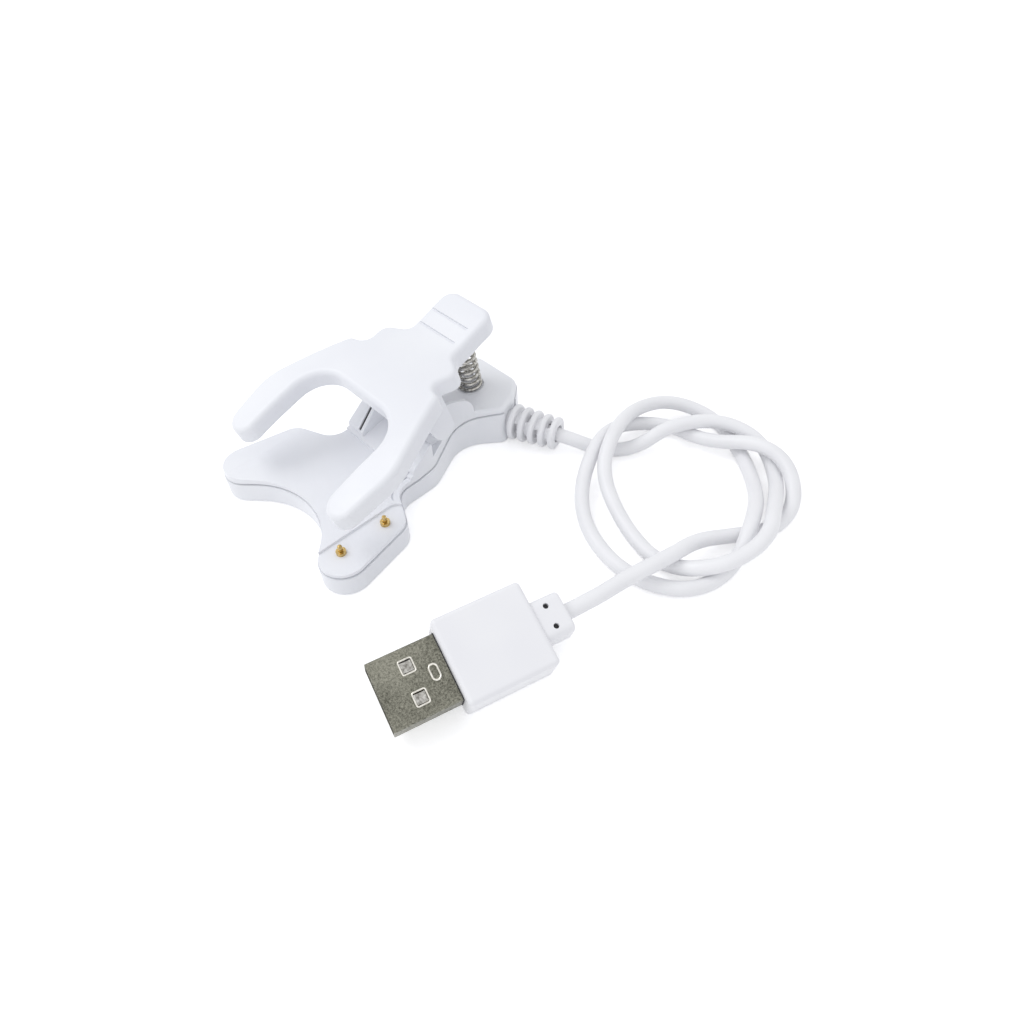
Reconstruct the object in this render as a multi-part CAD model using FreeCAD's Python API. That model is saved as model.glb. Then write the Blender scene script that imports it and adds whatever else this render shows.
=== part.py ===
import FreeCAD, Part
import math
import os

# Charging clip for a wrist band: a spring clip with a forked upper jaw, a lower body that carries
# two spring pins, a ribbed strain relief, a cord in a loose loop and a USB-A plug.
# +X runs from the jaw's tips to the handles, +Y is the clip's left side, +Z is up.
# The origin is the middle of the clip's footprint, on the surface it stands on. Millimetres.
# A "setback" is a distance behind the clip's front edge and a "lead" a distance ahead of its rear
# edge, except where a jaw, pin or plug size says otherwise. A "spread" is measured from the middle.

V = FreeCAD.Vector
ORIGIN = V(0, 0, 0)
ALONG = V(1, 0, 0)
ACROSS = V(0, 1, 0)
UP = V(0, 0, 1)

# --- Lower body: plan -------------------------------------------------------------------------
body_length = 60.5
lobe_radius = 5.0
lobe_spread = 17.2
heel_margin = 0.5
heel_spread = 15.9
heel_radius = 4.0
neck_radius = 4.0
neck_gap = 1.2
neck_half_width = 11.3
bay_radius = 17.2
bay_slack = 0.15
shoulder_lead = 29.8
shoulder_radius = 6.2
shoulder_half_width = 11.2
waist_lead = 17.9
waist_radius = 7.4
waist_half_width = 6.8
handle_corner_radius = 3.6
handle_half_width = 8.1
exit_corner_radius = 2.0
exit_half_face = 2.1

# --- Lower body: heights and walls ------------------------------------------------------------
wall = 1.2
floor_thickness = 1.2
base_round = 0.6
seam_height = 4.7
seam_gap = 0.3
seam_rise = 3.3
seam_rise_lead = 32.5
seam_rise_run = 22.0
cover_inset = 0.25
lip_clearance = 0.1
lip_height = 0.8
tray_crest = 6.6
tray_sag = 1.0
tray_end_lead = 34.5
plateau_lead = 27.0
plateau_top = 8.4
rear_top_lead = 10.5
rear_top = 9.6
cover_round = 1.0
platform_top = 5.7
ledge_spread = 13.6
platform_margin = 5.2
platform_corner = 2.2
rim_inset = 1.5
rim_width = 0.35
rim_depth = 0.35
rim_overlap = 0.6
rim_lead = 3.0

# --- Hinge ------------------------------------------------------------------------------------
hinge_lead = 24.4
hinge_height = 13.0
pin_diameter = 2.0
pin_grip = 0.01
pin_play = 0.05
pin_seat_depth = 1.2
pin_end_gap = 0.1
cheek_inner = 5.9
cheek_thickness = 2.4
cheek_head_radius = 3.0
cheek_rear_radius = 2.6
cheek_rear_setback = 7.6
cheek_rear_drop = 2.4
cheek_heel_setback = 9.6
cheek_toe_lead = 8.4
cheek_foot_radius = 1.0
ear_gap = 0.3
ear_thickness = 2.1
ear_radius = 2.5
ear_root = 1.8
guard_lead = 3.7
guard_top = 11.6
guard_corner = 0.6
slit_width = 0.7
slit_lead = 9.2
slit_length = 5.4
slit_floor = 6.4
stop_thickness = 1.5
stop_lead = 1.9
stop_height = 4.0
stop_gap = 0.2
heel_thickness = 2.9
heel_gap = 0.3
heel_clearance = 1.9

# --- Upper jaw (measured along its own plate, from the hinge axis) ----------------------------
jaw_slope = 14.8
jaw_top = 11.3
jaw_thickness = 4.2
jaw_round = 1.1
jaw_under_round = 0.5
prong_reach = 26.3
prong_tip_radius = 3.2
prong_tip_spread = 16.5
prong_flank_reach = 18.5
prong_flank_radius = 13.0
prong_half_width = 20.5
arch_reach = 15.2
arch_radius = 7.0
arch_spread = 6.2
hip_lead = 1.0
hip_radius = 1.6
hip_half_width = 14.3
notch_setback = 2.7
notch_radius = 1.9
notch_half_width = 10.7
lug_setback = 5.6
lug_radius = 2.6
lug_half_width = 11.3
grip_setback = 11.0
grip_radius = 2.4
handle_reach = 22.0
handle_end_radius = 3.0
jaw_handle_half_width = 6.8
groove_width = 0.6
groove_depth = 0.4
groove_setbacks = (11.8, 15.6)
groove_end = 4.8
# The plate is not flat: (distance along the jaw, height over the level of its two ends).
jaw_curve = (
    (-30.0, -0.2), (-24.0, 0.8), (-17.0, 1.4), (-9.0, 1.6), (-1.0, 1.2),
    (5.0, 0.1), (11.0, -0.9), (15.5, -0.4), (19.5, 0.0), (24.0, 0.1),
)

# --- Clip spring ------------------------------------------------------------------------------
spring_lead = 8.6
spring_lean = 8.6
spring_diameter = 5.8
spring_wire = 0.8
spring_turns = 9.0
spring_clearance = 0.05
spring_end_gap = 1.0
spring_post_diameter = 3.4
spring_post_height = 1.8
spring_pocket = 0.4
spring_pocket_diameter = 6.2

# --- Spring pins ------------------------------------------------------------------------------
front_contact_setback = 5.1
contact_span = 10.3
contact_spread = 16.35
barrel_diameter = 1.6
barrel_bore = 1.3
barrel_floor = 0.4
barrel_lip = 0.3
barrel_lip_bore = 1.0
barrel_clearance = 0.05
collar_diameter = 1.95
collar_height = 0.7
plunger_diameter = 0.9
plunger_reach = 1.45
plunger_foot_diameter = 1.2
plunger_foot_height = 0.5
plunger_rest_gap = 0.02
contact_wire = 0.14
contact_turns = 6.0
tail_diameter = 0.6
tail_length = 0.3

# --- Contact board, leads and screws ----------------------------------------------------------
board_bottom = 1.9
board_thickness = 1.0
board_radius = 2.0
board_hole_clearance = 0.05
board_post_diameter = 1.6
board_post_lead = 2.6
lead_diameter = 0.8
lead_pitch = 1.1
lead_clearance = 0.03
lead_lift = 0.15
solder_radius = 0.75
fillet_solder_height = 0.22
front_screw_setback = 11.5
front_screw_side = 11.0
middle_screw_lead = 34.5
middle_screw_side = 4.5
rear_screw_lead = 14.5
rear_screw_side = 2.2
screw_head_diameter = 2.8
screw_head_height = 0.9
screw_head_recess = 0.25
screw_head_clearance = 0.1
screw_shank_diameter = 1.5
screw_shank_length = 3.5
screw_hole_clearance = 0.1
screw_slot_length = 2.0
screw_slot_width = 0.35
screw_slot_depth = 0.35
screw_tip_gap = 0.2
boss_web = 0.9
boss_diameter = 4.4
boss_gap = 0.05

# --- Strain relief ----------------------------------------------------------------------------
exit_lead = 6.3
exit_side = 10.45
exit_height = 4.0
exit_angle = 20.8
relief_groove_diameter = 5.2
relief_clearance = 0.05
relief_flange_diameter = 6.0
relief_flange_width = 0.9
relief_core_diameter = 4.6
relief_first_gap = 0.5
relief_ribs = 5
relief_rib_pitch = 2.35
relief_rib_width = 1.3
relief_rib_round = 0.6
relief_root_diameter = 7.9
relief_end_diameter = 7.2
relief_window_width = 2.4
relief_mouth_depth = 3.2
relief_mouth_flare = 0.4

# --- Cord -------------------------------------------------------------------------------------
cord_diameter = 3.0
cord_play = 0.03
cord_start_depth = 3.1
cord_relief_reach = 12.4
cord_plug_reach = 4.6
cord_share = 0.45
# The free part of the route, from the strain relief to the plug, as the loop lies on the floor.
cord_route = (
    (32.4, -28.7, 1.5), (37.3, -34.3, 1.9), (45.5, -37.2, 5.7), (54.7, -43.7, 5.2), (56.8, -52.7, 3.5),
    (51.0, -60.6, 1.7), (41.6, -65.8, 5.3), (31.2, -70.9, 7.0), (21.2, -67.6, 5.0), (16.7, -58.5, 1.5),
    (19.6, -46.7, 1.5), (24.7, -36.0, 4.9), (33.0, -31.5, 7.8), (44.0, -28.0, 5.6), (54.0, -30.5, 3.5),
    (58.0, -40.0, 1.5), (53.0, -50.2, 1.5), (46.0, -58.8, 2.0), (37.0, -64.6, 6.0), (25.5, -68.6, 1.5),
    (15.3, -65.8, 1.5), (10.3, -55.5, 1.9), (13.0, -43.3, 1.7), (20.0, -34.5, 2.7), (30.5, -29.5, 5.9),
    (40.5, -27.0, 2.7), (48.5, -33.5, 1.8), (48.9, -44.5, 2.9), (53.0, -53.8, 6.3), (52.8, -61.4, 5.4),
    (47.3, -67.4, 2.4), (39.5, -68.2, 1.6), (32.7, -63.6, 1.6), (25.3, -60.0, 3.6), (16.8, -60.0, 6.0),
    (8.3, -57.9, 6.0),
)

# --- USB plug (own frame: +X to the cord, Y across, Z through; origin in the housing's front face)
plug_x = -27.3
plug_y = -49.5
plug_yaw = -15.3
plug_roll = 20.0
housing_width = 15.6
housing_thickness = 8.0
housing_length = 16.6
housing_edge_round = 0.9
housing_web = 1.0
cavity_width = 9.0
cavity_thickness = 2.9
collar_width = 7.6
plug_collar_thickness = 6.4
collar_length = 5.4
collar_round = 1.4
collar_hole_diameter = 1.0
collar_hole_depth = 1.2
collar_hole_spread = 1.9
collar_hole_setback = 2.3
collar_spigot = 1.6
collar_spigot_trim = 0.8
spigot_round = 0.8
spigot_clearance = 0.02
usb_width = 12.0
usb_thickness = 4.5
usb_sheet = 0.3
usb_exposed = 12.0
usb_buried = 6.5
usb_corner = 0.45
usb_inner_corner = 0.25
usb_clearance = 0.03
window_length = 2.3
window_width = 2.4
window_setback = 4.8
window_spread = 2.75
oval_length = 2.7
oval_width = 1.4
oval_setback = 9.6
oval_rise = 0.12
oval_wall = 0.3
tongue_length = 11.2
tongue_thickness = 1.9
tongue_side_gap = 0.15
contact_count = 4
contact_width = 1.1
contact_thickness = 0.3
contact_pitch = 2.2
contact_length = 9.6
contact_lead_in = 0.9
contact_tail = 2.0
contact_play = 0.01
core_setback = 0.6
core_gap = 0.05


# --- Places -----------------------------------------------------------------------------------
shoulder_setback = body_length - shoulder_lead
waist_setback = body_length - waist_lead
seam_rise_setback = body_length - seam_rise_lead
tray_end_setback = body_length - tray_end_lead
plateau_setback = body_length - plateau_lead
rear_top_setback = body_length - rear_top_lead
hinge_setback = body_length - hinge_lead
spring_setback = body_length - spring_lead
exit_setback = body_length - exit_lead
contact_setbacks = (front_contact_setback, front_contact_setback + contact_span)
heel_setback = contact_setbacks[1] + heel_margin
platform_end_setback = contact_setbacks[1] + platform_margin
screw_spots = (
    (front_screw_setback, front_screw_side),
    (body_length - middle_screw_lead, middle_screw_side),
    (body_length - rear_screw_lead, rear_screw_side),
)


def at(setback):
    """Place along X of a point that lies a setback behind the clip's front edge."""
    return setback - body_length / 2


hinge = V(at(hinge_setback), 0, hinge_height)
exit_heading = V(math.sin(math.radians(exit_angle)), -math.cos(math.radians(exit_angle)), 0)
exit_face = V(math.cos(math.radians(exit_angle)), math.sin(math.radians(exit_angle)), 0)
exit_point = V(at(exit_setback), -exit_side, exit_height)
ear_inner = cheek_inner + cheek_thickness + ear_gap
lip_inset = wall + lip_clearance
jaw_under = jaw_top - jaw_thickness
plug_heading = V(math.cos(math.radians(plug_yaw)), math.sin(math.radians(plug_yaw)), 0)


def plug_rise():
    roll = math.radians(plug_roll)
    side = housing_width / 2 - housing_edge_round
    depth = housing_thickness / 2 - housing_edge_round
    return side * math.sin(roll) + depth * math.cos(roll) + housing_edge_round


plug_point = V(plug_x, plug_y, plug_rise())


# --- Shape helpers ----------------------------------------------------------------------------
def heading_between(first, second):
    """Direction of the line that touches two rounds (x, y, radius); a hollow's radius is minus."""
    run = math.hypot(second[0] - first[0], second[1] - first[1])
    bearing = math.atan2(second[1] - first[1], second[0] - first[0])
    return bearing - math.asin((second[2] - first[2]) / run)


def on_round(circle, heading):
    x, y, radius = circle
    return V(x + radius * math.sin(heading), y - radius * math.cos(heading), 0)


def outline(rounds, inset=0.0):
    """Closed wire of arcs round the given rounds and the lines that touch them in turn."""
    shrunk = [(x, y, radius - inset) for x, y, radius in rounds]
    count = len(shrunk)
    headings = [heading_between(shrunk[i], shrunk[(i + 1) % count]) for i in range(count)]
    edges = []
    for i in range(count):
        arrive = headings[i - 1]
        turn = (headings[i] - arrive) % (2 * math.pi)
        if shrunk[i][2] < 0:
            turn -= 2 * math.pi
        start = on_round(shrunk[i], arrive)
        middle = on_round(shrunk[i], arrive + turn / 2)
        end = on_round(shrunk[i], arrive + turn)
        edges.append(Part.Arc(start, middle, end).toShape())
        following = on_round(shrunk[(i + 1) % count], headings[i])
        edges.append(Part.LineSegment(end, following).toShape())
    return Part.Wire(edges)


def prism(rounds, low, high, inset=0.0):
    slab = Part.Face(outline(rounds, inset)).extrude(UP * (high - low))
    slab.translate(UP * low)
    return slab


def upright(rounds, near, width):
    """Prism whose outline lies in the XZ plane; it spans Y from near to near + width."""
    slab = Part.Face(outline(rounds)).extrude(UP * width)
    slab.rotate(ORIGIN, ALONG, 90)
    slab.translate(ACROSS * (near + width))
    return slab


def side_profile(points, half_width=60.0):
    """Prism across the whole body from a side-view outline of (x, z) points."""
    corners = [V(x, -half_width, z) for x, z in points]
    face = Part.Face(Part.makePolygon(corners + corners[:1]))
    return face.extrude(ACROSS * (2 * half_width))


def box(x, y, z, length, width, height):
    return Part.makeBox(length, width, height, V(x, y, z))


def rod(diameter, length, base, axis=UP):
    return Part.makeCylinder(diameter / 2, length, base, axis)


def mirrored(shape):
    return shape.mirror(ORIGIN, ACROSS)


def both_sides(shape):
    return shape.fuse(mirrored(shape))


def long_edges(shape, axis):
    """Edges of a box-like solid that run along one axis."""
    found = []
    for edge in shape.Edges:
        step = edge.Vertexes[-1].Point - edge.Vertexes[0].Point
        if step.Length > 0 and abs(step.dot(axis)) > 0.999 * step.Length:
            found.append(edge)
    return found


def level_edges(shape, height):
    """Edges that lie wholly at one height."""
    found = []
    for edge in shape.Edges:
        room = edge.BoundBox
        if max(abs(room.ZMin - height), abs(room.ZMax - height)) < 1e-4:
            found.append(edge)
    return found


def rounded_bar(length, width, thickness, radius):
    """Bar along X from the origin, centred in Y and Z, with its long edges rounded."""
    bar = box(0, -width / 2, -thickness / 2, length, width, thickness)
    return bar.makeFillet(radius, long_edges(bar, ALONG))


def tube_path(points):
    """Straight runs joined by tangent arcs, each as large as its two runs allow."""
    edges = []
    radii = []
    last = points[0]
    for before, corner, after in zip(points, points[1:], points[2:]):
        back = before - corner
        ahead = after - corner
        reach = cord_share * min(back.Length, ahead.Length)
        half_turn = (math.pi - back.getAngle(ahead)) / 2
        radius = reach / math.tan(half_turn)
        back.normalize()
        ahead.normalize()
        start = corner + back * reach
        end = corner + ahead * reach
        inward = back + ahead
        inward.normalize()
        middle = corner + inward * (radius / math.cos(half_turn) - radius)
        edges.append(Part.LineSegment(last, start).toShape())
        edges.append(Part.Arc(start, middle, end).toShape())
        radii.append(radius)
        last = end
    edges.append(Part.LineSegment(last, points[-1]).toShape())
    return Part.Wire(edges), radii


def tube(points, diameter):
    path, radii = tube_path(points)
    ring = Part.Wire(Part.makeCircle(diameter / 2, points[0], points[1] - points[0]))
    return path.makePipeShell([ring], True, False), path.Length, radii


def coil(diameter, wire, turns, length):
    """Helical spring up +Z between z = 0 and z = length."""
    radius = (diameter - wire) / 2
    rise = length - wire
    spine = Part.makeHelix(rise / turns, rise, radius)
    spine.translate(UP * (wire / 2))
    start = V(radius, 0, wire / 2)
    ring = Part.Wire(Part.makeCircle(wire / 2, start, V(0, 1, rise / turns / (2 * math.pi * radius))))
    return Part.Wire(spine.Edges).makePipeShell([ring], True, True)


# --- Lower body -------------------------------------------------------------------------------
def exit_corners():
    middle = exit_point - exit_heading * exit_corner_radius
    front = middle - exit_face * exit_half_face
    rear = middle + exit_face * exit_half_face
    return [(front.x, front.y, exit_corner_radius), (rear.x, rear.y, exit_corner_radius)]


def body_rounds():
    neck_setback = heel_setback + heel_radius + neck_radius + neck_gap
    right = [
        (at(lobe_radius), -lobe_spread, lobe_radius),
        (at(heel_setback), -heel_spread, heel_radius),
        (at(neck_setback), -neck_half_width - neck_radius, -neck_radius),
        (at(shoulder_setback), shoulder_radius - shoulder_half_width, shoulder_radius),
        (at(waist_setback), -waist_half_width - waist_radius, -waist_radius),
    ]
    left = [(x, -y, radius) for x, y, radius in reversed(right)]
    rear_x = at(body_length - handle_corner_radius)
    rear_y = handle_half_width - handle_corner_radius
    rear = [(rear_x, -rear_y, handle_corner_radius), (rear_x, rear_y, handle_corner_radius)]
    bay_reach = math.sqrt((lobe_radius + bay_radius + bay_slack) ** 2 - lobe_spread ** 2)
    bay = [(at(lobe_radius) - bay_reach, 0, -bay_radius)]
    return right + exit_corners() + rear + left + bay


def seam_line(offset):
    """Side view of the parting line between shell and cover, as (x, z) points."""
    rise_end = seam_rise_setback + seam_rise_run
    low = seam_height + offset
    high = seam_height + seam_rise + offset
    return [(at(-10), low), (at(seam_rise_setback), low), (at(rise_end), high), (at(body_length + 10), high)]


def below_seam(offset=0.0):
    return side_profile([(at(-10), -5), *seam_line(offset), (at(body_length + 10), -5)])


def above_seam(offset):
    return side_profile([(at(-10), 40), *seam_line(offset), (at(body_length + 10), 40)])


def seam_at(setback):
    share = (setback - seam_rise_setback) / seam_rise_run
    return seam_height + seam_rise * min(max(share, 0.0), 1.0)


def exit_rod(diameter, first, last):
    """Rod on the cord's exit axis, between two distances outside the exit face."""
    return rod(diameter, last - first, exit_point + exit_heading * first, exit_heading)


def exit_slot(diameter):
    """Space above the exit axis, through the wall, that lets the strain relief drop in."""
    slot = box(-diameter / 2, -wall - 0.5, 0, diameter, wall + 1.0, 20)
    slot.rotate(ORIGIN, UP, exit_angle + 180)
    slot.translate(exit_point)
    return slot


def lower_shell():
    rounds = body_rounds()
    blank = prism(rounds, 0, rear_top)
    blank = blank.makeFillet(base_round, level_edges(blank, 0))
    shell = blank.common(below_seam()).cut(prism(rounds, floor_thickness, 30, wall))
    for setback, side in screw_spots:
        shell = shell.fuse(rod(boss_diameter, boss_floor() - 0.5, V(at(setback), side, 0.5)))
    for setback in board_post_setbacks():
        post = rod(board_post_diameter, board_bottom - 0.5, V(at(setback), -contact_spread, 0.5))
        shell = shell.fuse(post)
    for setback, side in screw_spots:
        spot = V(at(setback), side, -1)
        head_hole = screw_head_recess + screw_head_height
        shell = shell.cut(rod(screw_head_diameter + 2 * screw_head_clearance, 1 + head_hole, spot))
        shell = shell.cut(rod(screw_shank_diameter + 2 * screw_hole_clearance, 10, spot))
    groove = relief_groove_diameter + 2 * relief_clearance
    flange = relief_flange_diameter + 2 * relief_clearance
    shell = shell.cut(exit_rod(groove, -wall - 1.0, 1.0)).cut(exit_slot(groove))
    shell = shell.cut(exit_rod(flange, -wall - relief_flange_width - 2 * relief_clearance, -wall))
    return shell.removeSplitter()


def boss_floor():
    return screw_head_recess + screw_head_height + boss_web


def board_post_setbacks():
    front, rear = contact_setbacks
    return (front + board_post_lead, rear - board_post_lead)


def cover_top():
    """Side view of everything under the cover's upper surface, before the trough is cut."""
    return side_profile([
        (at(-10), 0), (at(-10), tray_crest), (at(tray_end_setback), tray_crest),
        (at(plateau_setback), plateau_top), (at(rear_top_setback), rear_top),
        (at(body_length + 10), rear_top), (at(body_length + 10), 0),
    ])


def trough():
    """Long shallow hollow along the tray; it lifts with the ramp behind it."""
    half_width = lobe_spread
    radius = (half_width ** 2 + tray_sag ** 2) / (2 * tray_sag)
    base = V(at(-10), 0, tray_crest - tray_sag + radius)
    return Part.makeCylinder(radius, tray_end_setback + 10, base, ALONG)


def platform_pocket():
    """Sunken floor round the spring pins, open to the cover's outer edge."""
    length = platform_end_setback + 10
    pocket = box(at(-10), -60, platform_top, length, 60 - ledge_spread, 20)
    inner = [e for e in long_edges(pocket, UP) if e.BoundBox.YMin > -ledge_spread - 1]
    corner = [e for e in inner if e.BoundBox.XMin > at(0)]
    return pocket.makeFillet(platform_corner, corner)


def cheek():
    """Right-hand hinge cheek, from the plateau up to a round head at the pin."""
    x = hinge.x
    z = hinge.z
    foot = seam_at(hinge_setback) + seam_gap + cheek_foot_radius
    rounds = [
        (x - cheek_toe_lead, foot, cheek_foot_radius),
        (x + cheek_heel_setback, foot, cheek_foot_radius),
        (x + cheek_rear_setback, z - cheek_rear_drop, cheek_rear_radius),
        (x, z, cheek_head_radius),
    ]
    return upright(rounds, -cheek_inner - cheek_thickness, cheek_thickness)


def cheek_guard():
    """Right-hand block in front of the ear, between the cheek and the body's side."""
    foot = seam_at(hinge_setback) + seam_gap + cheek_foot_radius
    rear = hinge.x - guard_lead - guard_corner
    rounds = [
        (hinge.x - cheek_toe_lead, foot, cheek_foot_radius),
        (rear, foot, guard_corner),
        (rear, guard_top - guard_corner, guard_corner),
    ]
    return upright(rounds, -shoulder_half_width, shoulder_half_width - cheek_inner - cheek_thickness / 2)


def stop_web():
    """Wall between the cheeks that the jaw's heel closes against."""
    x = hinge.x - stop_lead - stop_thickness
    low = seam_at(hinge_setback) + seam_gap
    width = 2 * cheek_inner + 0.4
    return box(x, -width / 2, low, stop_thickness, width, hinge.z + stop_height - low)


def spring_axis():
    lean = math.radians(spring_lean)
    return V(-math.sin(lean), 0, math.cos(lean))


def spring_foot():
    return V(at(spring_setback), 0, rear_top - spring_pocket)


def spring_length():
    """Distance along the spring's axis from its pocket to the jaw's under face."""
    slope = math.radians(jaw_slope)
    normal = V(-math.sin(slope), 0, math.cos(slope))
    face_point = hinge + normal * jaw_under
    return (face_point - spring_foot()).dot(normal) / spring_axis().dot(normal)


def lip():
    """Locating lip under the cover, a sliding fit inside the shell's wall."""
    band = above_seam(-lip_height).common(below_seam(seam_gap + 0.2))
    return prism(body_rounds(), 0, rear_top, lip_inset).common(band)


def cover_boss(setback, side):
    low = boss_floor() + boss_gap
    high = seam_at(setback) - lip_height + 0.4
    return rod(boss_diameter, high - low, V(at(setback), side, low))


def cover_relief_cuts(cover):
    """Room for the strain relief's flange and neck, and a saddle that closes its slot."""
    groove = relief_groove_diameter + 2 * relief_clearance
    flange = relief_flange_diameter + 2 * relief_clearance
    saddle = exit_slot(groove - 2 * lip_clearance).common(prism(body_rounds(), 0, rear_top, cover_inset))
    saddle = saddle.common(below_seam(seam_gap + 0.1))
    cover = cover.fuse(saddle).cut(exit_rod(groove, -wall - 3.0, 1.0))
    return cover.cut(exit_rod(flange, -wall - relief_flange_width - 2 * relief_clearance, -wall))


def cheek_slit():
    """Narrow slit in the right-hand cheek's sloping front."""
    y = -cheek_inner - (cheek_thickness + slit_width) / 2
    return box(hinge.x - slit_lead, y, slit_floor, slit_length, slit_width, 20)


def rim_groove():
    """Shallow line inside the cover's right edge, from the pin platform to the hinge."""
    outer = prism(body_rounds(), 0, 30, rim_inset)
    ring = outer.cut(prism(body_rounds(), -1, 31, rim_inset + rim_width))
    start = at(platform_end_setback - rim_overlap)
    ring = ring.common(box(start, -60, 0, hinge.x - rim_lead - start, 60, 40))
    down = UP * -rim_depth
    low_top = cover_top().translated(down)
    return ring.cut(low_top).fuse(ring.common(trough().translated(down)))


def tray_cover():
    plate = prism(body_rounds(), 0, rear_top, cover_inset)
    plate = plate.makeFillet(cover_round, level_edges(plate, rear_top)).common(cover_top())
    plate = plate.cut(trough()).cut(platform_pocket()).common(above_seam(seam_gap))
    cover = plate.cut(rim_groove()).fuse(lip())
    uprights = both_sides(cheek().fuse(cheek_guard())).fuse(stop_web()).common(above_seam(seam_gap))
    uprights = uprights.common(prism(body_rounds(), 0, 30, cover_inset)).cut(both_sides(cheek_slit()))
    cover = cover.fuse(uprights)
    for setback, side in screw_spots:
        cover = cover.fuse(cover_boss(setback, side))
    for setback, side in screw_spots:
        depth = screw_shank_length + screw_tip_gap
        cover = cover.cut(rod(screw_shank_diameter, depth, V(at(setback), side, boss_floor() - boss_web)))
    cover = cover_relief_cuts(cover)
    foot = spring_foot()
    cover = cover.cut(rod(spring_pocket_diameter, 10, foot - UP * 0.0))
    cover = cover.fuse(rod(spring_post_diameter, spring_post_height + 0.5, foot - UP * 0.5))
    pin_bore = rod(pin_diameter + 2 * pin_grip, 40, V(hinge.x, -20, hinge.z), ACROSS)
    cover = cover.cut(pin_bore)
    for setback in contact_setbacks:
        hole = rod(barrel_diameter + 2 * barrel_clearance, 20, V(at(setback), -contact_spread, 0))
        cover = cover.cut(hole)
    return cover.removeSplitter()


def hinge_pin():
    half = ear_inner + pin_seat_depth
    return rod(pin_diameter, 2 * half, V(hinge.x, -half, hinge.z), ACROSS)


# --- Upper jaw --------------------------------------------------------------------------------
def jaw_rounds():
    right = [
        (-prong_reach, -prong_tip_spread, prong_tip_radius),
        (-prong_flank_reach, prong_flank_radius - prong_half_width, prong_flank_radius),
        (-hip_lead, hip_radius - hip_half_width, hip_radius),
        (notch_setback, -notch_half_width - notch_radius, -notch_radius),
        (lug_setback, lug_radius - lug_half_width, lug_radius),
        (grip_setback, -jaw_handle_half_width - grip_radius, -grip_radius),
        (handle_reach - handle_end_radius, handle_end_radius - jaw_handle_half_width, handle_end_radius),
    ]
    left = [(x, -y, radius) for x, y, radius in reversed(right)]
    arch = [(-arch_reach, arch_spread, -arch_radius), (-arch_reach, -arch_spread, -arch_radius)]
    return right + left + arch


def on_jaw(shape):
    """Carry a shape from the jaw's own frame, plate level and hinge at the origin, to its place."""
    shape.rotate(ORIGIN, ACROSS, -jaw_slope)
    shape.translate(hinge)
    return shape


def jaw_curve_at(level):
    """Side view of the plate's curve, at a level over the hinge axis."""
    curve = Part.BSplineCurve()
    curve.interpolate([V(reach, -60, level + rise) for reach, rise in jaw_curve])
    return curve.toShape()


def jaw_slab():
    """The plate's curved thickness, wider than its plan."""
    under = jaw_curve_at(jaw_under)
    over = jaw_curve_at(jaw_top)
    ends = [Part.makeLine(a.Point, b.Point) for a, b in zip(under.Vertexes, over.Vertexes)]
    return Part.Face(Part.Wire([under, ends[1], over, ends[0]])).extrude(ACROSS * 120)


def jaw_plate():
    plate = prism(jaw_rounds(), jaw_under - 3, jaw_top + 3).common(jaw_slab())
    under, over = sorted(sorted(plate.Faces, key=lambda f: f.Area)[-2:], key=lambda f: f.CenterOfMass.z)
    over_edges = over.Edges
    middle = (jaw_under + jaw_top) / 2
    plate = plate.makeFillet(jaw_round, over_edges)
    under = max((f for f in plate.Faces if f.CenterOfMass.z < middle), key=lambda f: f.Area)
    plate = plate.makeFillet(jaw_under_round, under.Edges)
    for setback in groove_setbacks:
        width = jaw_handle_half_width + groove_end
        groove = box(setback, -groove_end, 0, groove_width, width + 1, 30)
        plate = plate.cut(groove.common(jaw_slab().translated(UP * (jaw_thickness - groove_depth))))
    return plate


def ear():
    """Right-hand ear: a round end on the hinge axis that widens up into the plate."""
    rounds = [
        (0, 0, ear_radius),
        (ear_radius - 0.6, jaw_under + ear_root, 0.5),
        (-ear_radius - 1.6, jaw_under + ear_root, 0.5),
    ]
    return upright(rounds, -ear_inner - ear_thickness, ear_thickness)


def heel():
    """Block under the plate that meets the stop web with a flat, upright face."""
    front = hinge.x - stop_lead + stop_gap
    low = hinge.z + heel_clearance
    slope = math.radians(jaw_slope)
    high = hinge.z + jaw_under / math.cos(slope) + ear_root
    width = 2 * (cheek_inner - heel_gap)
    return box(front, -width / 2, low, heel_thickness, width, high - low)


def upper_jaw():
    jaw = on_jaw(jaw_plate().fuse(both_sides(ear()))).fuse(heel())
    top = spring_foot() + spring_axis() * spring_length()
    post = rod(spring_post_diameter, spring_post_height + 1.0, top + spring_axis() * 1.0, spring_axis() * -1)
    seat = rod(pin_diameter + 2 * pin_play, 2 * (ear_inner + pin_seat_depth + pin_end_gap),
               V(hinge.x, -ear_inner - pin_seat_depth - pin_end_gap, hinge.z), ACROSS)
    return jaw.fuse(post).cut(seat).removeSplitter()


def clip_spring():
    spring = coil(spring_diameter, spring_wire, spring_turns, spring_length() - spring_clearance - spring_end_gap)
    spring.rotate(ORIGIN, ACROSS, -spring_lean)
    spring.translate(spring_foot() + spring_axis() * spring_clearance)
    return spring


# --- Spring pins and contact board ------------------------------------------------------------
board_top = board_bottom + board_thickness
barrel_top = platform_top + collar_height


def contact_spot(setback, height):
    return V(at(setback), -contact_spread, height)


def barrel(setback):
    body = rod(barrel_diameter, platform_top - board_top, contact_spot(setback, board_top))
    body = body.fuse(rod(collar_diameter, collar_height, contact_spot(setback, platform_top)))
    tail = board_thickness + tail_length
    body = body.fuse(rod(tail_diameter, tail, contact_spot(setback, board_top - tail)))
    bore_floor = board_top + barrel_floor
    bore = rod(barrel_bore, barrel_top - barrel_lip - bore_floor, contact_spot(setback, bore_floor))
    mouth = rod(barrel_lip_bore, barrel_lip + 1, contact_spot(setback, barrel_top - barrel_lip))
    return body.cut(bore).cut(mouth).removeSplitter()


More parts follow.
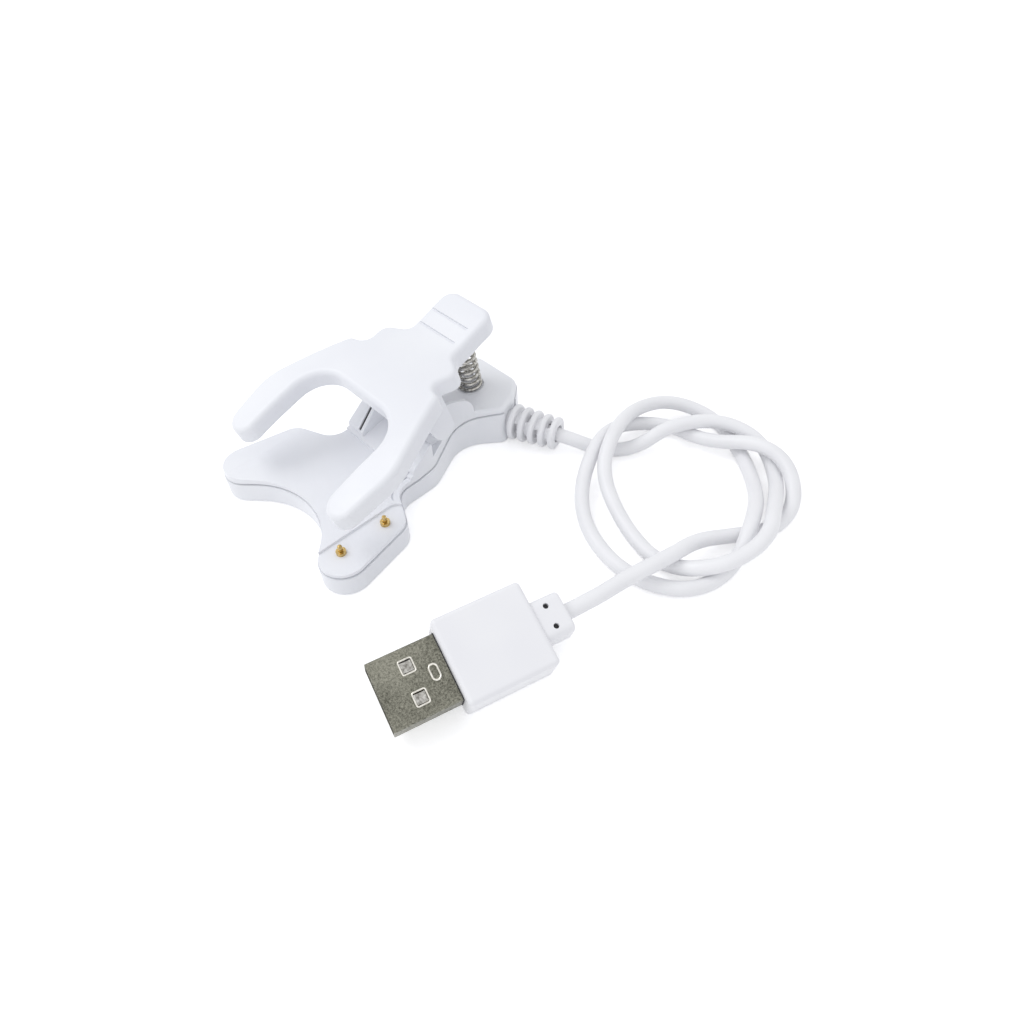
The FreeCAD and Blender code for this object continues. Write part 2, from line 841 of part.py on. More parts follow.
def plunger(setback):
    foot_top = barrel_top - barrel_lip - plunger_rest_gap
    foot_spot = contact_spot(setback, foot_top - plunger_foot_height)
    foot = rod(plunger_foot_diameter, plunger_foot_height, foot_spot)
    stem_length = barrel_top + plunger_reach - foot_top
    stem = rod(plunger_diameter, stem_length, contact_spot(setback, foot_top))
    stem = stem.makeFillet(0.3 * plunger_diameter, level_edges(stem, foot_top + stem_length))
    return foot.fuse(stem).removeSplitter()


def contact_spring(setback):
    low = board_top + barrel_floor
    high = barrel_top - barrel_lip - plunger_rest_gap - plunger_foot_height
    spring = coil(barrel_bore - 0.1, contact_wire, contact_turns, high - low - 0.1)
    spring.translate(contact_spot(setback, low + 0.05))
    return spring


def contact_board():
    front, rear = contact_setbacks
    rounds = [(at(front), -contact_spread, board_radius), (at(rear), -contact_spread, board_radius)]
    board = prism(rounds, board_bottom, board_top)
    for setback in contact_setbacks:
        board = board.cut(rod(tail_diameter + 2 * board_hole_clearance, 10, contact_spot(setback, 0)))
    return board


# --- Leads inside the clip --------------------------------------------------------------------
def lead_points(lane):
    """Lead from the cord's end to the board; lane is -0.5 or 0.5 lead pitches off the middle."""
    shift = lane * lead_pitch
    cord_end = exit_point - exit_heading * cord_start_depth
    start = cord_end + exit_face * shift
    pad_height = board_top + lead_diameter / 2 + lead_clearance
    low = floor_thickness + lead_diameter / 2 + 0.3
    front, rear = contact_setbacks
    pad_setback = (front + rear) / 2 - 3.0 * lane
    return [
        start,
        start - exit_heading * 2.4 - UP * 0.4,
        V(at(waist_setback + 4.5), -waist_half_width + 3.4 + shift, low + 0.4),
        V(at(waist_setback - 1.5), -waist_half_width + 3.2 + shift, low),
        V(at(shoulder_setback), -shoulder_half_width + 6.0 + shift, low),
        V(at(heel_setback + 7.0), -neck_half_width + 3.2 + shift, low),
        V(at(pad_setback + 4.0), -contact_spread + board_radius + 3.4 + shift, low + 0.8),
        V(at(pad_setback + 1.6), -contact_spread + board_radius + 0.9, pad_height + lead_lift),
        V(at(pad_setback), -contact_spread, pad_height),
    ]


def lead(lane):
    return tube(lead_points(lane), lead_diameter)[0]


def solder_joints():
    joints = []
    for lane in (-0.5, 0.5):
        pad = lead_points(lane)[-1]
        pad = V(pad.x, pad.y, board_top)
        dome = Part.makeSphere(solder_radius, pad, UP, 0, 90, 360)
        joints.append(dome.cut(lead(lane)))
    for setback in contact_setbacks:
        base = contact_spot(setback, board_bottom)
        cone = Part.makeCone(solder_radius, tail_diameter / 2 + 0.05, fillet_solder_height, base, UP * -1)
        joints.append(cone.cut(rod(tail_diameter, 2, contact_spot(setback, board_bottom - 1))))
    return Part.makeCompound([solid for joint in joints for solid in joint.Solids])


def case_screws():
    screws = []
    for setback, side in screw_spots:
        base = V(at(setback), side, screw_head_recess)
        head = rod(screw_head_diameter, screw_head_height, base)
        shank = rod(screw_shank_diameter, screw_shank_length, base + UP * screw_head_height)
        screw = head.fuse(shank)
        for length, width in ((screw_slot_length, screw_slot_width), (screw_slot_width, screw_slot_length)):
            corner = base - V(length / 2, width / 2, 1)
            screw = screw.cut(box(corner.x, corner.y, corner.z, length, width, 1 + screw_slot_depth))
        screws.append(screw.removeSplitter())
    return Part.makeCompound(screws)


# --- Strain relief and cord -------------------------------------------------------------------
def relief_length():
    return relief_first_gap + (relief_ribs - 1) * relief_rib_pitch + relief_rib_width


def relief_rib(index):
    share = index / max(relief_ribs - 1, 1)
    diameter = relief_root_diameter + share * (relief_end_diameter - relief_root_diameter)
    ring = rod(diameter, relief_rib_width, UP * (relief_first_gap + index * relief_rib_pitch))
    rims = [e for e in ring.Edges if isinstance(e.Curve, Part.Circle)]
    return ring.makeFillet(relief_rib_round, rims)


def relief_window(index):
    """Cross slot between two ribs; every other one is turned a quarter."""
    low = relief_first_gap + index * relief_rib_pitch + relief_rib_width
    height = relief_rib_pitch - relief_rib_width
    width = relief_window_width
    window = box(-width / 2, -10, low, width, 20, height)
    window.rotate(ORIGIN, UP, 90 * (index % 2))
    return window


def strain_relief():
    neck = wall + 2 * relief_clearance
    flange_low = relief_clearance - neck - relief_flange_width
    flange = rod(relief_flange_diameter, relief_flange_width, UP * flange_low)
    relief = flange.fuse(rod(relief_groove_diameter, neck + 0.1, UP * (relief_clearance - neck)))
    relief = relief.fuse(rod(relief_core_diameter, relief_length(), ORIGIN))
    for index in range(relief_ribs - 1):
        relief = relief.cut(relief_window(index))
    for index in range(relief_ribs):
        relief = relief.fuse(relief_rib(index))
    bore = cord_diameter / 2 + cord_play
    relief = relief.cut(Part.makeCylinder(bore, 60, UP * -30))
    mouth_low = UP * (relief_length() - relief_mouth_depth)
    mouth = Part.makeCone(bore, bore + relief_mouth_flare, relief_mouth_depth, mouth_low)
    relief = relief.cut(mouth).removeSplitter()
    relief.rotate(ORIGIN, ACROSS, 90)
    relief.rotate(ORIGIN, UP, exit_angle - 90)
    relief.translate(exit_point)
    return relief


def cord_points():
    start = exit_point - exit_heading * cord_start_depth
    bend = exit_point + exit_heading * cord_relief_reach
    free = [V(*point) for point in cord_route]
    plug_face = housing_length + collar_length
    into_plug = plug_point + plug_heading * (plug_face + cord_plug_reach)
    end = plug_point + plug_heading * (housing_length - collar_spigot)
    return [start, bend, *free, into_plug, end]


# --- USB plug ---------------------------------------------------------------------------------
def on_plug(shape):
    """Carry a shape from the plug's own frame to where the plug lies, rolled onto one long edge."""
    shape.rotate(ORIGIN, ALONG, plug_roll)
    shape.rotate(ORIGIN, UP, plug_yaw)
    shape.translate(plug_point)
    return shape


def bar_at(start, length, width, thickness, radius):
    bar = rounded_bar(length, width, thickness, radius)
    bar.translate(ALONG * start)
    return bar


def plug_cord_bore(start, length):
    return Part.makeCylinder(cord_diameter / 2 + cord_play, length, ALONG * start, ALONG)


def collar_spigot_bar(start, length, play):
    """Stub of the collar that plugs into the housing's rear wall."""
    trim = 2 * (collar_spigot_trim + play)
    return bar_at(start, length, collar_width - trim, plug_collar_thickness - trim, spigot_round)


def plug_housing():
    base = V(0, -housing_width / 2, -housing_thickness / 2)
    shell = Part.makeBox(housing_length, housing_width, housing_thickness, base)
    shell = shell.makeFillet(housing_edge_round, shell.Edges)
    play = 2 * usb_clearance
    buried = bar_at(-1, usb_buried + 1, usb_width + play, usb_thickness + play, usb_corner)
    cavity_end = housing_length - collar_spigot - housing_web
    cavity_length = cavity_end - usb_buried + 0.5
    cavity = bar_at(usb_buried - 0.5, cavity_length, cavity_width, cavity_thickness, usb_corner)
    spigot = collar_spigot_bar(housing_length - collar_spigot, collar_spigot + 1, 0)
    housing = shell.cut(buried).cut(cavity).cut(spigot)
    return housing.cut(plug_cord_bore(cavity_end - 1, 1 + housing_web + collar_spigot))


def plug_collar():
    collar = bar_at(housing_length, collar_length, collar_width, plug_collar_thickness, collar_round)
    rim = [e for e in collar.Edges if e.BoundBox.XMin > housing_length + collar_length - 1e-4]
    collar = collar.makeFillet(0.6, rim)
    start = housing_length - collar_spigot + spigot_clearance
    spigot = collar_spigot_bar(start, collar_spigot, spigot_clearance)
    collar = collar.fuse(spigot).cut(plug_cord_bore(housing_length - 4, 20))
    for side in (-1, 1):
        hole_x = housing_length + collar_hole_setback
        base = V(hole_x, side * collar_hole_spread, plug_collar_thickness / 2 + 0.5)
        collar = collar.cut(rod(collar_hole_diameter, 0.5 + collar_hole_depth, base, UP * -1))
    return collar.removeSplitter()


def usb_shell():
    length = usb_exposed + usb_buried - 0.1
    outer = bar_at(-usb_exposed, length, usb_width, usb_thickness, usb_corner)
    inner_width = usb_width - 2 * usb_sheet
    inner_thickness = usb_thickness - 2 * usb_sheet
    inner = bar_at(-usb_exposed - 1, length + 2, inner_width, inner_thickness, usb_inner_corner)
    shell = outer.cut(inner)
    for side in (-1, 1):
        corner = V(window_setback - usb_exposed, side * window_spread - window_width / 2, -usb_thickness)
        shell = shell.cut(Part.makeBox(window_length, window_width, 2 * usb_thickness, corner))
    return shell.fuse(oval_ring()).removeSplitter()


def oval_ring():
    """Raised oval rib on the shell's upper face, its long way across the plug."""
    reach = (oval_length - oval_width) / 2
    x = -usb_exposed + oval_setback
    rounds = [(x, -reach, oval_width / 2), (x, reach, oval_width / 2)]
    low = usb_thickness / 2 - 0.1
    high = usb_thickness / 2 + oval_rise
    return prism(rounds, low, high).cut(prism(rounds, low - 1, high + 1, oval_wall))


def usb_tongue():
    width = usb_width - 2 * usb_sheet - 2 * tongue_side_gap
    low = usb_sheet + tongue_side_gap - usb_thickness / 2
    plate = box(-tongue_length, -width / 2, low, tongue_length, width, tongue_thickness)
    for y in contact_lanes():
        corner = V(contact_lead_in - tongue_length, y - contact_width / 2, contact_top() - contact_thickness)
        plate = plate.cut(Part.makeBox(tongue_length, contact_width, 1, corner))
    return plate


def contact_lanes():
    middle = (contact_count - 1) / 2
    return [contact_pitch * (i - middle) for i in range(contact_count)]


def contact_top():
    """Height of the contacts' upper faces, flush with the tongue's, in the plug's own frame."""
    return usb_sheet + tongue_side_gap - usb_thickness / 2 + tongue_thickness


def usb_contacts():
    top = contact_top()
    strips = []
    for y in contact_lanes():
        start = -tongue_length + contact_lead_in + 0.05
        length = tongue_length - contact_lead_in + usb_buried + contact_tail
        width = contact_width - 0.04
        strips.append(box(start, y - width / 2, top - contact_thickness, length, width, contact_thickness))
    return Part.makeCompound(strips)


def plug_core():
    """Insulating block that fills the shell behind the tongue and holds the contacts."""
    width = usb_width - 2 * usb_sheet - 2 * core_gap
    thickness = usb_thickness - 2 * usb_sheet - 2 * core_gap
    core = bar_at(0, usb_buried - core_setback, width, thickness, usb_inner_corner)
    low = contact_top() - contact_thickness - contact_play
    slot = contact_thickness + 2 * contact_play
    for y in contact_lanes():
        core = core.cut(Part.makeBox(20, contact_width, slot, V(-1, y - contact_width / 2, low)))
    return core


def plug_lead(side):
    """Lead from the cord's end to the upper face of an outer contact's tail."""
    top = contact_top()
    y = side * contact_lanes()[-1]
    start = housing_length - collar_spigot
    height = top + lead_diameter / 2
    points = [
        V(start, side * 0.45, 0),
        V(start - 1.6, side * 0.6, 0.2),
        V(start - 3.6, side * 2.2, height * 0.5 + 0.1),
        V(usb_buried + contact_tail - 0.2, y, height),
        V(usb_buried + 0.4, y, height),
    ]
    return on_plug(tube(points, lead_diameter)[0])


# --- Output -----------------------------------------------------------------------------------
def export(name, shape):
    shape.exportStep("parts/" + name + ".step")
    print(name, "solids", len(shape.Solids), "valid", shape.isValid(), "volume", round(shape.Volume, 2))


def main():
    os.makedirs("parts", exist_ok=True)
    export("lower_shell", lower_shell())
    export("tray_cover", tray_cover())
    export("hinge_pin", hinge_pin())
    export("upper_jaw", upper_jaw())
    export("clip_spring", clip_spring())
    for name, setback in zip(("front", "rear"), contact_setbacks):
        export("pin_barrel_" + name, barrel(setback))
        export("pin_plunger_" + name, plunger(setback))
        export("pin_spring_" + name, contact_spring(setback))
    export("contact_board", contact_board())
    export("lead_black", lead(-0.5))
    export("lead_red", lead(0.5))
    export("solder_joints", solder_joints())
    export("case_screws", case_screws())
    export("strain_relief", strain_relief())
    cord, length, radii = tube(cord_points(), cord_diameter)
    print("cord length", round(length, 1), "radii", [round(radius, 1) for radius in radii])
    print("cord volume share", cord.Volume / (length * math.pi * cord_diameter ** 2 / 4))
    export("charging_cord", cord)
    export("plug_housing", on_plug(plug_housing()))
    export("plug_collar", on_plug(plug_collar()))
    export("usb_shell", on_plug(usb_shell()))
    export("usb_tongue", on_plug(usb_tongue()))
    export("usb_contacts", on_plug(usb_contacts()))
    export("plug_core", on_plug(plug_core()))
    export("plug_lead_black", plug_lead(-1))
    export("plug_lead_red", plug_lead(1))


main()
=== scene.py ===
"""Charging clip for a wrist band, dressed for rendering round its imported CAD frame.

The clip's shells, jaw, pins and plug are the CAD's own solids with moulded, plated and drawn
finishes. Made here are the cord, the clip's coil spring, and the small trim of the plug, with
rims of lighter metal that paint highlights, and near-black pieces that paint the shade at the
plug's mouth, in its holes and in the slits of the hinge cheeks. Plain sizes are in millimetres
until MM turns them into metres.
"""
import math

import bmesh
import bpy
from mathutils import Matrix, Vector

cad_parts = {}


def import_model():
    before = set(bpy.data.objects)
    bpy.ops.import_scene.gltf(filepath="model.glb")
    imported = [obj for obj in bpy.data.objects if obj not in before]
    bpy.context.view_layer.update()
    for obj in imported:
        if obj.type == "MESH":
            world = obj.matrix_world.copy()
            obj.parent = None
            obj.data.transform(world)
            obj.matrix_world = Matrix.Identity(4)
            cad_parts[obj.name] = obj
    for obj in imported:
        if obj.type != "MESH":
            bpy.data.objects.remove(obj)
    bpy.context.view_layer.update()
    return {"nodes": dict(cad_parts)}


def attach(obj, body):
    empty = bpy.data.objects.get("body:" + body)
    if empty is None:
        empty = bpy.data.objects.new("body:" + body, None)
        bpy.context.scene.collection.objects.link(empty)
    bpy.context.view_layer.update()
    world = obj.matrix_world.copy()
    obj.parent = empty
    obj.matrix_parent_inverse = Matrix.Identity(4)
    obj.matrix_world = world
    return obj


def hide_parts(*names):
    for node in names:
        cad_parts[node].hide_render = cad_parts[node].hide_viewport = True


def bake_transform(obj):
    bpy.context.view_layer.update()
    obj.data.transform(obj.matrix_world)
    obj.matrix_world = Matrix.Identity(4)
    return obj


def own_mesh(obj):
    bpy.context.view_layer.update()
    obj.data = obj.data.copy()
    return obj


MM = 0.001

# --- Places shared with the CAD ---------------------------------------------------------------
BODY_LENGTH = 60.5
HINGE_SETBACK = 36.1
HINGE_HEIGHT = 13.0
HINGE = Vector((HINGE_SETBACK - BODY_LENGTH / 2, 0.0, HINGE_HEIGHT)) * MM
JAW_SLOPE = math.radians(14.8)
JAW_UNDER = 7.1 * MM

COIL_SETBACK = 51.9
COIL_SEAT = 9.2
COIL_FOOT = Vector((COIL_SETBACK - BODY_LENGTH / 2, 0.0, COIL_SEAT)) * MM
COIL_LEAN = math.radians(8.6)
COIL_DIAMETER = 5.8 * MM
COIL_WIRE = 0.8 * MM
COIL_TURNS = 8.4
COIL_FOOT_GAP = 0.05 * MM
COIL_TOP_GAP = 0.9 * MM

PIN_SETBACKS = {"front": 5.1, "rear": 15.4}

# Side view of a cheek's slit, as (x, z) from the hinge's axis along and from the floor up.
SLIT_SPREAD = 7.1 * MM
# Thickness of the near-black piece that paints the shade in each slit.
SLIT_SHADE_THICKNESS = 0.66 * MM
SLIT_SIDE = ((-9.1, 6.45), (-3.85, 6.45), (-3.85, 12.9), (-8.9, 7.7))

CORD_DIAMETER = 3.0 * MM
CORD_ROUTE = (
    (22.85, -7.55, 4.0), (28.35, -22.04, 4.0),
    (32.4, -28.7, 1.5), (37.3, -34.3, 1.9), (45.5, -37.2, 5.7), (54.7, -43.7, 5.2),
    (56.8, -52.7, 3.5), (51.0, -60.6, 1.7), (41.6, -65.8, 5.3), (31.2, -70.9, 7.0),
    (21.2, -67.6, 5.0), (16.7, -58.5, 1.5), (19.6, -46.7, 1.5), (24.7, -36.0, 4.9),
    (33.0, -31.5, 7.8), (44.0, -28.0, 5.6), (54.0, -30.5, 3.5), (58.0, -40.0, 1.5),
    (53.0, -50.2, 1.5), (46.0, -58.8, 2.0), (37.0, -64.6, 6.0), (25.5, -68.6, 1.5),
    (15.3, -65.8, 1.5), (10.3, -55.5, 1.9), (13.0, -43.3, 1.7), (20.0, -34.5, 2.7),
    (30.5, -29.5, 5.9), (40.5, -27.0, 2.7), (48.5, -33.5, 1.8), (48.9, -44.5, 2.9),
    (53.0, -53.8, 6.3), (52.8, -61.4, 5.4), (47.3, -67.4, 2.4), (39.5, -68.2, 1.6),
    (32.7, -63.6, 1.6), (25.3, -60.0, 3.6), (16.8, -60.0, 6.0), (8.3, -57.9, 6.0),
    (-1.64, -56.52, 6.17), (-12.83, -53.46, 6.17),
)

# The plug's own frame runs with +X towards the cord and Y across, from an origin in the middle
# of the housing's front face.
PLUG_ORIGIN = Vector((-27.3, -49.5, 6.173)) * MM
PLUG_YAW = math.radians(-15.3)
PLUG_ROLL = math.radians(20.0)
SHELL_TOP = 2.25 * MM
SHELL_REACH = 12.0 * MM
SHELL_WIDTH = 12.0 * MM
SHELL_CORNER = 0.45 * MM
MOUTH_LINE = 0.13 * MM
WINDOW_LENGTH = 2.3 * MM
WINDOW_WIDTH = 2.4 * MM
WINDOW_MIDDLE = 5.95 * MM
WINDOW_SPREAD = 2.75 * MM
WINDOW_CORNER = 0.3 * MM
WINDOW_RIM = 0.17 * MM
# Side view of a latch tab, as (along, drop below the shell's face) from the window's middle.
TAB_SIDE = ((-1.15, 0.10), (-0.75, 0.16), (-0.25, 0.34), (0.35, 0.42), (0.95, 0.30))
TAB_WIDTH = 1.75 * MM
TAB_SHEET = 0.2 * MM
OVAL_MIDDLE = 9.6 * MM
OVAL_LENGTH = 2.7 * MM
OVAL_WIDTH = 1.4 * MM
OVAL_CORNER = OVAL_WIDTH / 2 - 0.01 * MM
OVAL_RIM = 0.2 * MM
OVAL_RISE = 0.08 * MM
HOLE_SETBACK = 18.9 * MM
HOLE_SPREAD = 1.9 * MM
HOLE_RADIUS = 0.46 * MM
HOLE_MIDDLE = 2.33 * MM
HOLE_FILL = 0.7 * MM

# --- Fineness of the round shapes -------------------------------------------------------------
COIL_STEPS = 40
COIL_FACETS = 14
CORD_ORDER = 3
CORD_STEPS = 14
CORD_FACETS = 6
RIM_FACETS = 3
CORNER_STEPS = 6
OVAL_STEPS = 10
HOLE_FACETS = 24

# --- Camera, light and floor ------------------------------------------------------------------
CAMERA_PLACE = Vector((-64.381, -109.931, 119.5)) * MM
CAMERA_AHEAD = Vector((0.44500415, 0.50832414, -0.73727734))
CAMERA_RIGHT = Vector((0.72505122, -0.68772518, -0.03653512))
CAMERA_LENS = 28.125
CAMERA_SENSOR = 36.0
CAMERA_NEAR = 5.0 * MM
SKY_LIGHT = 0.84
STAGE_MIDDLE = (0.01, -0.02, 0.01)
KEY_PLACE = (-0.18, 0.28, 0.50)
KEY_SIZE = 0.35
KEY_POWER = 0.85
FILL_PLACE = (-0.40, -0.25, 0.35)
FILL_SIZE = 0.30
FILL_POWER = 0.20
FLOOR_REACH = 1.2
FLOOR_CELLS = 8
FLOOR_DROP = 0.05 * MM
PAPER_GLOW = 0.42

# --- Colours (linear) -------------------------------------------------------------------------
SHELL_WHITE = (0.85, 0.86, 0.89)
SHELL_SHADE = (0.81, 0.82, 0.86)
CORD_WHITE = (0.87, 0.87, 0.89)
CORD_SHADE = (0.83, 0.83, 0.85)
PLUG_WHITE = (0.87, 0.87, 0.89)
PLUG_SHADE = (0.83, 0.83, 0.86)
TONGUE_LIGHT = (0.72, 0.72, 0.72)
TONGUE_SHADE = (0.66, 0.66, 0.66)
BOARD_LIGHT = (0.03, 0.14, 0.05)
BOARD_SHADE = (0.02, 0.10, 0.04)
RED_LIGHT = (0.55, 0.02, 0.015)
RED_SHADE = (0.45, 0.015, 0.012)
BLACK_LIGHT = (0.025, 0.025, 0.027)
BLACK_SHADE = (0.015, 0.015, 0.016)
NICKEL_LIGHT = (0.34, 0.335, 0.28)
NICKEL_DARK = (0.07, 0.07, 0.055)
STEEL_LIGHT = (0.66, 0.65, 0.62)
STEEL_DARK = (0.22, 0.21, 0.19)
# Painted highlight: lighter metal for the rims on the plug's window edges and oval crest.
PAINTED_HIGHLIGHT_LIGHT = (0.90, 0.88, 0.82)
PAINTED_HIGHLIGHT_DARK = (0.66, 0.64, 0.58)
GOLD_LIGHT = (0.80, 0.60, 0.27)
GOLD_DARK = (0.40, 0.27, 0.09)
SOLDER_LIGHT = (0.62, 0.63, 0.65)
SOLDER_DARK = (0.40, 0.41, 0.43)
# Painted shade: near-black for pieces standing in for the shade in holes, slits and gaps.
PAINTED_SHADE_LIGHT = (0.03, 0.03, 0.034)
PAINTED_SHADE_DARK = (0.012, 0.012, 0.014)
PAPER_TINT = (0.86, 0.86, 0.87, 1.0)
SKY_TINT = (0.97, 0.98, 1.0, 1.0)
PURE_WHITE = (1.0, 1.0, 1.0, 1.0)


# --- Material helpers -------------------------------------------------------------------------
def start_material(name):
    """New node material; returns it with its tree, its shader and its object coordinates."""
    finish = bpy.data.materials.new(name)
    finish.use_nodes = True
    tree = finish.node_tree
    shader = tree.nodes["Principled BSDF"]
    place = tree.nodes.new("ShaderNodeTexCoord")
    return finish, tree, shader, place.outputs["Object"]


def cloud(tree, place, scale, detail=3.0, roughness=0.5):
    """Noise pattern on the object's own coordinates."""
    noise = tree.nodes.new("ShaderNodeTexNoise")
    noise.inputs["Scale"].default_value = scale
    noise.inputs["Detail"].default_value = detail
    noise.inputs["Roughness"].default_value = roughness
    tree.links.new(place, noise.inputs["Vector"])
    return noise.outputs["Fac"]


def reckon(tree, operation, *terms):
    """Math node over sockets and plain numbers; returns its result."""
    sum_node = tree.nodes.new("ShaderNodeMath")
    sum_node.operation = operation
    for socket, term in zip(sum_node.inputs, terms):
        if isinstance(term, bpy.types.NodeSocket):
            tree.links.new(term, socket)
        else:
            socket.default_value = term
    return sum_node.outputs[0]


def between(tree, amount, low, high, dark, light):
    """Colour ramp over a pattern's value, from dark at low to light at high."""
    ramp = tree.nodes.new("ShaderNodeValToRGB")
    ramp.color_ramp.elements[0].position = low
    ramp.color_ramp.elements[0].color = (*dark, 1.0)
    ramp.color_ramp.elements[1].position = high
    ramp.color_ramp.elements[1].color = (*light, 1.0)
    tree.links.new(amount, ramp.inputs["Fac"])
    return ramp.outputs["Color"]


def spread_over(tree, amount, low, high):
    """Map a pattern's 0.3 to 0.7 onto a range of values."""
    span = tree.nodes.new("ShaderNodeMapRange")
    span.inputs["From Min"].default_value = 0.3
    span.inputs["From Max"].default_value = 0.7
    span.inputs["To Min"].default_value = low
    span.inputs["To Max"].default_value = high
    tree.links.new(amount, span.inputs["Value"])
    return span.outputs["Result"]


def relief_of(tree, shader, height, strength, depth):
    """Bump on the shader from a height pattern; depth is in metres."""
    bump = tree.nodes.new("ShaderNodeBump")
    bump.inputs["Strength"].default_value = strength
    bump.inputs["Distance"].default_value = depth
    tree.links.new(height, bump.inputs["Height"])
    tree.links.new(bump.outputs["Normal"], shader.inputs["Normal"])


# --- Finishes ---------------------------------------------------------------------------------
def moulded_plastic(name, light, shade, gloss_low, gloss_high, depth=0.02 * MM):
    """Injection-moulded plastic: faint cloudy tint, uneven gloss and a fine spark-eroded grain."""
    finish, tree, shader, place = start_material(name)
    tint = cloud(tree, place, scale=55.0, detail=2.0)
    tint = between(tree, tint, low=0.35, high=0.65, dark=shade, light=light)
    tree.links.new(tint, shader.inputs["Base Color"])
    gloss = spread_over(tree, cloud(tree, place, scale=420.0, detail=4.0), gloss_low, gloss_high)
    tree.links.new(gloss, shader.inputs["Roughness"])
    grain = cloud(tree, place, scale=2600.0, detail=2.0)
    relief_of(tree, shader, grain, strength=0.18, depth=depth)
    shader.inputs["IOR"].default_value = 1.49
    return finish


def sleeve_vinyl(name, light, shade):
    """Extruded soft vinyl: a satin skin with slow waves along the cord and a fine haze."""
    finish, tree, shader, place = start_material(name)
    tint = cloud(tree, place, scale=90.0, detail=2.0)
    tint = between(tree, tint, low=0.35, high=0.65, dark=shade, light=light)
    tree.links.new(tint, shader.inputs["Base Color"])
    gloss = spread_over(tree, cloud(tree, place, scale=700.0), low=0.36, high=0.48)
    tree.links.new(gloss, shader.inputs["Roughness"])
    relief_of(tree, shader, cloud(tree, place, scale=900.0), strength=0.25, depth=0.03 * MM)
    shader.inputs["IOR"].default_value = 1.52
    shader.inputs["Sheen Weight"].default_value = 0.05
    return finish


def drawn_metal(name, light, dark, rough_low, rough_high, scale=1500.0):
    """Bright metal whose colour, gloss and surface vary in small flecks."""
    finish, tree, shader, place = start_material(name)
    fleck = cloud(tree, place, scale, detail=5.0, roughness=0.65)
    tint = between(tree, fleck, low=0.36, high=0.64, dark=dark, light=light)
    tree.links.new(tint, shader.inputs["Base Color"])
    tree.links.new(spread_over(tree, fleck, rough_high, rough_low), shader.inputs["Roughness"])
    relief_of(tree, shader, fleck, strength=0.3, depth=0.006 * MM)
    shader.inputs["Metallic"].default_value = 1.0
    return finish


def plated_tin(name, light, dark):
    """Dull nickel plate on pressed tin: coarse mottle over a fine sparkling grain."""
    finish, tree, shader, place = start_material(name)
    grain = tree.nodes.new("ShaderNodeTexVoronoi")
    grain.inputs["Scale"].default_value = 5200.0
    tree.links.new(place, grain.inputs["Vector"])
    mottle = cloud(tree, place, scale=2600.0, detail=6.0, roughness=0.72)
    speckle = reckon(tree, "MULTIPLY_ADD", grain.outputs["Distance"], 0.25, mottle)
    # Large random patches, lighter and darker, laid over the speckle.
    broad_patches = cloud(tree, place, scale=130.0, detail=1.0)
    patched_speckle = reckon(tree, "MULTIPLY_ADD", broad_patches, 0.35, speckle)
    tint = between(tree, patched_speckle, low=0.58, high=1.00, dark=dark, light=light)
    tree.links.new(tint, shader.inputs["Base Color"])
    tree.links.new(spread_over(tree, mottle, low=0.52, high=0.30), shader.inputs["Roughness"])
    relief_of(tree, shader, speckle, strength=0.35, depth=0.012 * MM)
    shader.inputs["Metallic"].default_value = 1.0
    return finish


def dark_hollow(name, light, dark):
    """Painted shade: near-black standing in for the dark of a hole that takes no light, also used
    in slits and gaps.
    """
    finish, tree, shader, place = start_material(name)
    haze = cloud(tree, place, scale=800.0)
    tint = between(tree, haze, low=0.3, high=0.7, dark=dark, light=light)
    tree.links.new(tint, shader.inputs["Base Color"])
    shader.inputs["Roughness"].default_value = 0.7
    return finish


def make_finishes():
    """Every finish of the part, by name."""
    return {
        "shell": moulded_plastic("shell_plastic", SHELL_WHITE, SHELL_SHADE, 0.34, 0.44),
        "plug": moulded_plastic("plug_plastic", PLUG_WHITE, PLUG_SHADE, 0.28, 0.36, 0.008 * MM),
        "tongue": moulded_plastic("tongue_plastic", TONGUE_LIGHT, TONGUE_SHADE, 0.45, 0.55),
        "board": moulded_plastic("board_green", BOARD_LIGHT, BOARD_SHADE, 0.25, 0.35),
        "red": moulded_plastic("lead_red", RED_LIGHT, RED_SHADE, 0.35, 0.45),
        "black": moulded_plastic("lead_black", BLACK_LIGHT, BLACK_SHADE, 0.35, 0.45),
        "vinyl": sleeve_vinyl("cord_vinyl", CORD_WHITE, CORD_SHADE),
        "nickel": plated_tin("plated_tin", NICKEL_LIGHT, NICKEL_DARK),
        "steel": drawn_metal("drawn_steel", STEEL_LIGHT, STEEL_DARK, 0.16, 0.30),
        "painted_highlight": drawn_metal("painted_highlight_metal", PAINTED_HIGHLIGHT_LIGHT, PAINTED_HIGHLIGHT_DARK, 0.22, 0.34),
        "gold": drawn_metal("gold_plate", GOLD_LIGHT, GOLD_DARK, 0.14, 0.28, 2400.0),
        "solder": drawn_metal("solder_tin", SOLDER_LIGHT, SOLDER_DARK, 0.3, 0.45, 1200.0),
        "hollow": dark_hollow("painted_shade_black", PAINTED_SHADE_LIGHT, PAINTED_SHADE_DARK),
    }


NODE_FINISH = {
    "lower_shell": "shell", "tray_cover": "shell", "upper_jaw": "shell", "hinge_pin": "steel",
    "clip_spring": "steel", "pin_barrel_front": "gold", "pin_barrel_rear": "gold",
    "pin_plunger_front": "gold", "pin_plunger_rear": "gold", "pin_spring_front": "steel",
    "pin_spring_rear": "steel", "contact_board": "board", "lead_red": "red",
    "lead_black": "black", "solder_joints": "solder", "case_screws": "steel",
    "strain_relief": "vinyl", "charging_cord": "vinyl", "plug_housing": "plug",
    "plug_collar": "plug", "usb_shell": "nickel", "usb_tongue": "tongue",
    "usb_contacts": "gold", "plug_core": "tongue", "plug_lead_red": "red",
    "plug_lead_black": "black",
}


